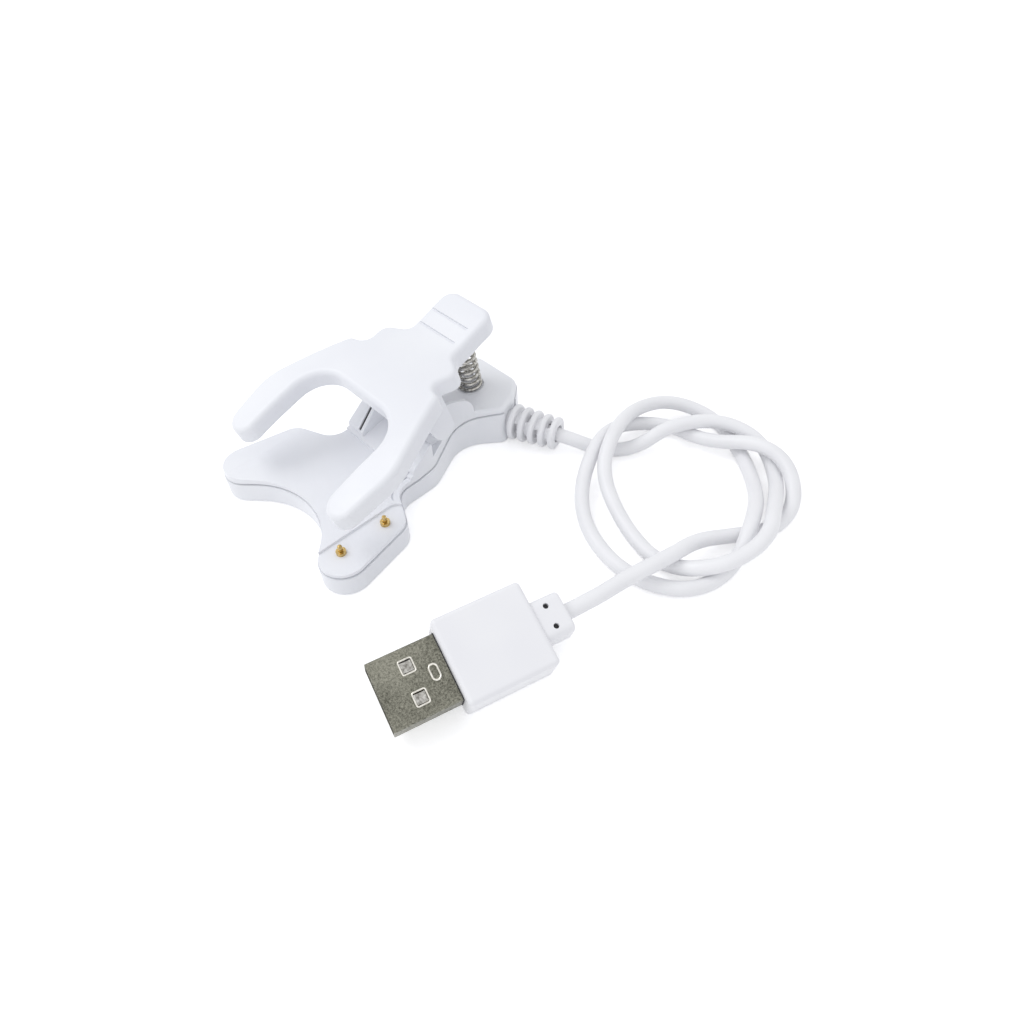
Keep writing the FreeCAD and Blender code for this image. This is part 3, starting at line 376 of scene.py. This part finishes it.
def dress_frame(frame, finishes):
    """Give every CAD node its finish."""
    for node, finish in NODE_FINISH.items():
        mesh = frame["nodes"][node].data
        mesh.materials.clear()
        mesh.materials.append(finishes[finish])


# --- Mesh helpers -----------------------------------------------------------------------------
def link_piece(name, content):
    """New object in the scene round a mesh, curve, lamp or camera."""
    piece = bpy.data.objects.new(name, content)
    bpy.context.scene.collection.objects.link(piece)
    return piece


def keep_result(name, maker):
    """Plain mesh piece of what a maker object evaluates to; the maker goes."""
    bpy.context.view_layer.update()
    made = maker.evaluated_get(bpy.context.evaluated_depsgraph_get())
    mesh = bpy.data.meshes.new_from_object(made)
    mesh.name = name
    bpy.data.objects.remove(maker)
    return link_piece(name, mesh)


def keep_built(name, built, finish):
    """Mesh piece of a built bmesh, in its finish."""
    mesh = bpy.data.meshes.new(name)
    built.to_mesh(mesh)
    built.free()
    mesh.materials.append(finish)
    return link_piece(name, mesh)


def skin_rings(built, rings):
    """Close a run of matching rings into one solid skin."""
    for first, second in zip(rings, rings[1:]):
        for spot in range(len(first)):
            after = (spot + 1) % len(first)
            built.faces.new((first[spot], first[after], second[after], second[spot]))
    built.faces.new(rings[0])
    built.faces.new(rings[-1])


def smooth(piece):
    """Shade a piece smooth."""
    for face in piece.data.polygons:
        face.use_smooth = True
    return piece


def place_piece(piece, matrix):
    """Put a piece's place into its mesh."""
    piece.data.transform(matrix)
    piece.data.update()
    return piece


class Tree:
    """Small helper that builds a Geometry Nodes tree with named size inputs."""

    def __init__(self, name):
        self.group = bpy.data.node_groups.new(name, "GeometryNodeTree")
        self.group.interface.new_socket(
            "Geometry", in_out="OUTPUT", socket_type="NodeSocketGeometry")
        self.sizes = None

    def size(self, name, value):
        """Add a named size with its usual value."""
        socket = self.group.interface.new_socket(
            name, in_out="INPUT", socket_type="NodeSocketFloat")
        socket.default_value = value

    def source(self, name):
        """Socket that gives a named size."""
        if self.sizes is None:
            self.sizes = self.group.nodes.new("NodeGroupInput")
        return self.sizes.outputs[name]

    def node(self, kind, inputs):
        """Add a node and feed its inputs from sockets or plain values."""
        node = self.group.nodes.new(kind)
        for key, value in inputs.items():
            if isinstance(value, bpy.types.NodeSocket):
                self.group.links.new(value, node.inputs[key])
            else:
                node.inputs[key].default_value = value
        return node

    def finish(self, geometry, finish):
        """Realize what repeats, give it its finish and send it out."""
        real = self.node("GeometryNodeRealizeInstances", {"Geometry": geometry})
        painted = self.node(
            "GeometryNodeSetMaterial", {"Geometry": real.outputs[0], "Material": finish})
        out = self.group.nodes.new("NodeGroupOutput")
        self.group.links.new(painted.outputs[0], out.inputs[0])
        return self.group


def run_tree(name, tree, sizes):
    """Run a node tree on an empty mesh and keep its result as a plain mesh piece."""
    maker = link_piece(name + "_maker", bpy.data.meshes.new(name + "_seed"))
    modifier = maker.modifiers.new("make", "NODES")
    modifier.node_group = tree
    for item in tree.interface.items_tree:
        if item.in_out == "INPUT" and item.name in sizes:
            modifier[item.identifier] = sizes[item.name]
    return keep_result(name, maker)


# --- Clip spring ------------------------------------------------------------------------------
def coil_axis():
    """Direction of the spring from the body's handle to the jaw's."""
    return Vector((-math.sin(COIL_LEAN), 0.0, math.cos(COIL_LEAN)))


def coil_length():
    """Distance along the spring from its pocket to the jaw's under face."""
    normal = Vector((-math.sin(JAW_SLOPE), 0.0, math.cos(JAW_SLOPE)))
    face_point = HINGE + normal * JAW_UNDER
    return (face_point - COIL_FOOT).dot(normal) / coil_axis().dot(normal)


def coil_tree(finish, sizes):
    """Helix with named sizes, swept with a round wire."""
    tree = Tree("coil")
    for name, value in sizes.items():
        tree.size(name, value)
    spiral = tree.node("GeometryNodeCurveSpiral", {
        "Resolution": COIL_STEPS, "Rotations": tree.source("Turns"),
        "Start Radius": tree.source("Radius"), "End Radius": tree.source("Radius"),
        "Height": tree.source("Rise"), "Reverse": False,
    })
    wire = tree.node("GeometryNodeCurvePrimitiveCircle", {
        "Resolution": COIL_FACETS, "Radius": tree.source("Wire"),
    })
    swept = tree.node("GeometryNodeCurveToMesh", {
        "Curve": spiral.outputs[0], "Profile Curve": wire.outputs[0], "Fill Caps": True,
    })
    return tree.finish(swept.outputs[0], finish)


def make_clip_coil(finish):
    """The coil spring between the two handles."""
    wire = COIL_WIRE / 2
    sizes = {
        "Turns": COIL_TURNS, "Radius": COIL_DIAMETER / 2 - wire,
        "Rise": coil_length() - 2 * wire - COIL_TOP_GAP, "Wire": wire,
    }
    piece = run_tree("clip_coil", coil_tree(finish, sizes), sizes)
    turn = Matrix.Rotation(-COIL_LEAN, 4, "Y")
    foot = COIL_FOOT + coil_axis() * (wire + COIL_FOOT_GAP)
    return smooth(place_piece(piece, Matrix.Translation(foot) @ turn))


def lay_cord(finish):
    """The cord as a round curve along its route."""
    curve = bpy.data.curves.new("charging_lead", "CURVE")
    curve.dimensions = "3D"
    curve.bevel_depth = CORD_DIAMETER / 2
    curve.bevel_resolution = CORD_FACETS
    curve.resolution_u = CORD_STEPS
    curve.use_fill_caps = True
    spline = curve.splines.new("NURBS")
    spline.points.add(len(CORD_ROUTE) - 1)
    for point, spot in zip(spline.points, CORD_ROUTE):
        point.co = (*(Vector(spot) * MM), 1.0)
    spline.order_u = CORD_ORDER
    spline.use_endpoint_u = True
    curve.materials.append(finish)
    return link_piece("charging_lead", curve)


# --- Plug trim --------------------------------------------------------------------------------
def plug_frame():
    """Matrix from the plug's own frame to where it lies."""
    turn = Matrix.Rotation(PLUG_YAW, 4, "Z") @ Matrix.Rotation(PLUG_ROLL, 4, "X")
    return Matrix.Translation(PLUG_ORIGIN) @ turn


def rounded_loop(middle, length, width, corner, height, steps=CORNER_STEPS):
    """Points of a rounded rectangle round a middle (x, y), all at one height."""
    points = []
    for quarter, (along, across) in enumerate(((1, 1), (-1, 1), (-1, -1), (1, -1))):
        x = middle[0] + along * (length / 2 - corner)
        y = middle[1] + across * (width / 2 - corner)
        for step in range(steps + 1):
            angle = (quarter + step / steps) * math.pi / 2
            points.append((x + corner * math.cos(angle), y + corner * math.sin(angle), height))
    return points


def make_rims(name, loops, thickness, finish):
    """Round wires along closed loops, kept as one mesh in the plug's place."""
    curve = bpy.data.curves.new(name + "_line", "CURVE")
    curve.dimensions = "3D"
    curve.bevel_depth = thickness
    curve.bevel_resolution = RIM_FACETS
    for points in loops:
        spline = curve.splines.new("POLY")
        spline.points.add(len(points) - 1)
        for spot, point in zip(spline.points, points):
            spot.co = (*point, 1.0)
        spline.use_cyclic_u = True
    piece = keep_result(name, link_piece(name + "_maker", curve))
    piece.data.materials.clear()
    piece.data.materials.append(finish)
    return smooth(place_piece(piece, plug_frame()))


def window_middles():
    """Middles of the two windows in one face of the shell."""
    x = WINDOW_MIDDLE - SHELL_REACH
    return [(x, -WINDOW_SPREAD), (x, WINDOW_SPREAD)]


def make_window_rims(finish):
    """Painted highlight: rims of lighter metal round the four windows, standing in for the light
    their cut edges catch.
    """
    loops = [
        rounded_loop(middle, WINDOW_LENGTH, WINDOW_WIDTH, WINDOW_CORNER, face * SHELL_TOP)
        for face in (1, -1) for middle in window_middles()
    ]
    return make_rims("window_highlight_rims", loops, WINDOW_RIM, finish)


def make_oval_rim(finish):
    """Painted highlight: a rim of lighter metal on the crest of the raised oval on the shell's
    upper face.
    """
    middle = (OVAL_MIDDLE - SHELL_REACH, 0.0)
    height = SHELL_TOP + OVAL_RISE
    loop = rounded_loop(middle, OVAL_WIDTH, OVAL_LENGTH, OVAL_CORNER, height, OVAL_STEPS)
    return make_rims("oval_highlight_rim", [loop], OVAL_RIM, finish)


def make_window_tabs(finish):
    """Bent latch tabs inside the four windows, each a strip folded along its side view."""
    built = bmesh.new()
    half = TAB_WIDTH / 2
    for face in (1, -1):
        for x, y in window_middles():
            rings = []
            for along, drop in TAB_SIDE:
                upper = face * (SHELL_TOP - drop * MM)
                lower = upper - face * TAB_SHEET
                corners = (
                    (y - half, upper), (y + half, upper), (y + half, lower), (y - half, lower),
                )
                rings.append([built.verts.new((x + along * MM, *corner)) for corner in corners])
            skin_rings(built, rings)
    bmesh.ops.recalc_face_normals(built, faces=built.faces)
    return place_piece(keep_built("window_tabs", built, finish), plug_frame())


def make_mouth_line(finish):
    """Painted shade: near-black line where the metal shell enters the housing, standing in for the
    shade in the gap.
    """
    outline = rounded_loop((0.0, 0.0), SHELL_WIDTH, 2 * SHELL_TOP, SHELL_CORNER, 0.0)
    loop = [(-MOUTH_LINE / 2, across, up) for across, up, _ in outline]
    return make_rims("mouth_shade_line", [loop], MOUTH_LINE, finish)


def make_hole_shade(finish):
    """Painted shade: near-black fillings at the bottom of the collar's two holes."""
    built = bmesh.new()
    for side in (-1, 1):
        spot = Matrix.Translation((HOLE_SETBACK, side * HOLE_SPREAD, HOLE_MIDDLE))
        bmesh.ops.create_cone(
            built, cap_ends=True, segments=HOLE_FACETS, radius1=HOLE_RADIUS,
            radius2=HOLE_RADIUS, depth=HOLE_FILL, matrix=spot)
    return place_piece(keep_built("hole_shade", built, finish), plug_frame())


# --- Hinge slits ------------------------------------------------------------------------------
def make_slit_shade(finish):
    """Painted shade: near-black linings at the bottom of the slits in the two hinge cheeks."""
    built = bmesh.new()
    for side in (-1, 1):
        faces = (side * (SLIT_SPREAD - SLIT_SHADE_THICKNESS / 2), side * (SLIT_SPREAD + SLIT_SHADE_THICKNESS / 2))
        skin_rings(built, [
            [built.verts.new((HINGE.x + x * MM, y, z * MM)) for x, z in SLIT_SIDE] for y in faces
        ])
    bmesh.ops.recalc_face_normals(built, faces=built.faces)
    return keep_built("slit_shade", built, finish)


# --- Stage ------------------------------------------------------------------------------------
def seen_glow(tree, strength):
    """Strength that only camera, mirror-like and see-through rays meet."""
    rays = tree.nodes.new("ShaderNodeLightPath").outputs
    mirrored = reckon(tree, "MAXIMUM", rays["Is Camera Ray"], rays["Is Glossy Ray"])
    seen = reckon(tree, "MAXIMUM", mirrored, rays["Is Transmission Ray"])
    return reckon(tree, "MULTIPLY", seen, strength)


def make_floor():
    """Pale paper that the part lies on, lit as it is and white to the camera."""
    paper = bpy.data.materials.new("stage_paper")
    paper.use_nodes = True
    tree = paper.node_tree
    shader = tree.nodes["Principled BSDF"]
    shader.inputs["Base Color"].default_value = PAPER_TINT
    shader.inputs["Roughness"].default_value = 0.9
    shader.inputs["Specular IOR Level"].default_value = 0.1
    shader.inputs["Emission Color"].default_value = PURE_WHITE
    tree.links.new(seen_glow(tree, PAPER_GLOW), shader.inputs["Emission Strength"])
    built = bmesh.new()
    bmesh.ops.create_grid(
        built, x_segments=FLOOR_CELLS, y_segments=FLOOR_CELLS, size=FLOOR_REACH)
    floor = keep_built("stage_floor", built, paper)
    floor.location = (0.0, 0.0, -FLOOR_DROP)


def light_sky():
    """Even sky that lights the part, and is plain white where it is seen."""
    world = bpy.data.worlds.new("studio")
    bpy.context.scene.world = world
    world.use_nodes = True
    tree = world.node_tree
    lit = tree.nodes["Background"]
    lit.inputs["Color"].default_value = SKY_TINT
    lit.inputs["Strength"].default_value = SKY_LIGHT
    seen = tree.nodes.new("ShaderNodeBackground")
    seen.inputs["Color"].default_value = PURE_WHITE
    seen.inputs["Strength"].default_value = 1.0
    mix = tree.nodes.new("ShaderNodeMixShader")
    tree.links.new(seen_glow(tree, 1.0), mix.inputs["Fac"])
    tree.links.new(lit.outputs[0], mix.inputs[1])
    tree.links.new(seen.outputs[0], mix.inputs[2])
    tree.links.new(mix.outputs[0], tree.nodes["World Output"].inputs["Surface"])


def add_lamp(name, place, size, power):
    """Round soft lamp aimed at the middle of the part."""
    lamp = bpy.data.lights.new(name, "AREA")
    lamp.shape = "DISK"
    lamp.size = size
    lamp.energy = power
    holder = link_piece(name, lamp)
    holder.location = place
    aim = Vector(STAGE_MIDDLE) - Vector(place)
    holder.rotation_euler = aim.to_track_quat("-Z", "Y").to_euler()


def set_camera():
    """Camera at the chosen view of the part."""
    lens = bpy.data.cameras.new("studio_lens")
    lens.lens = CAMERA_LENS
    lens.sensor_width = CAMERA_SENSOR
    lens.clip_start = CAMERA_NEAR
    holder = link_piece("studio_camera", lens)
    above = CAMERA_RIGHT.cross(CAMERA_AHEAD)
    turn = Matrix((CAMERA_RIGHT, above, -CAMERA_AHEAD)).transposed().to_4x4()
    holder.matrix_world = Matrix.Translation(CAMERA_PLACE) @ turn
    bpy.context.scene.camera = holder


def main():
    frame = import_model()
    bpy.context.scene.view_settings.view_transform = "Standard"
    finishes = make_finishes()
    dress_frame(frame, finishes)
    set_camera()
    light_sky()
    add_lamp("key_lamp", KEY_PLACE, KEY_SIZE, KEY_POWER)
    add_lamp("fill_lamp", FILL_PLACE, FILL_SIZE, FILL_POWER)
    make_floor()

    # The rims paint highlights; the mouth line and the hole fillings paint shade.
    trim = [
        make_window_rims(finishes["painted_highlight"]), make_oval_rim(finishes["painted_highlight"]),
        make_window_tabs(finishes["steel"]), make_mouth_line(finishes["hollow"]),
    ]
    trim.append(make_hole_shade(finishes["hollow"]))
    for piece in trim:
        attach(piece, "base")

    # Near-black linings paint the shade in the slits of the hinge cheeks.
    painted_slit_shade = make_slit_shade(finishes["hollow"])
    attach(painted_slit_shade, "base")

    cord = lay_cord(finishes["vinyl"])
    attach(cord, "base")
    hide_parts("charging_cord")

    coil = make_clip_coil(finishes["steel"])
    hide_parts("clip_spring")
    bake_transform(coil)

    for end, setback in PIN_SETBACKS.items():
        spring = frame["nodes"]["pin_spring_" + end]
        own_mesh(spring)


main()
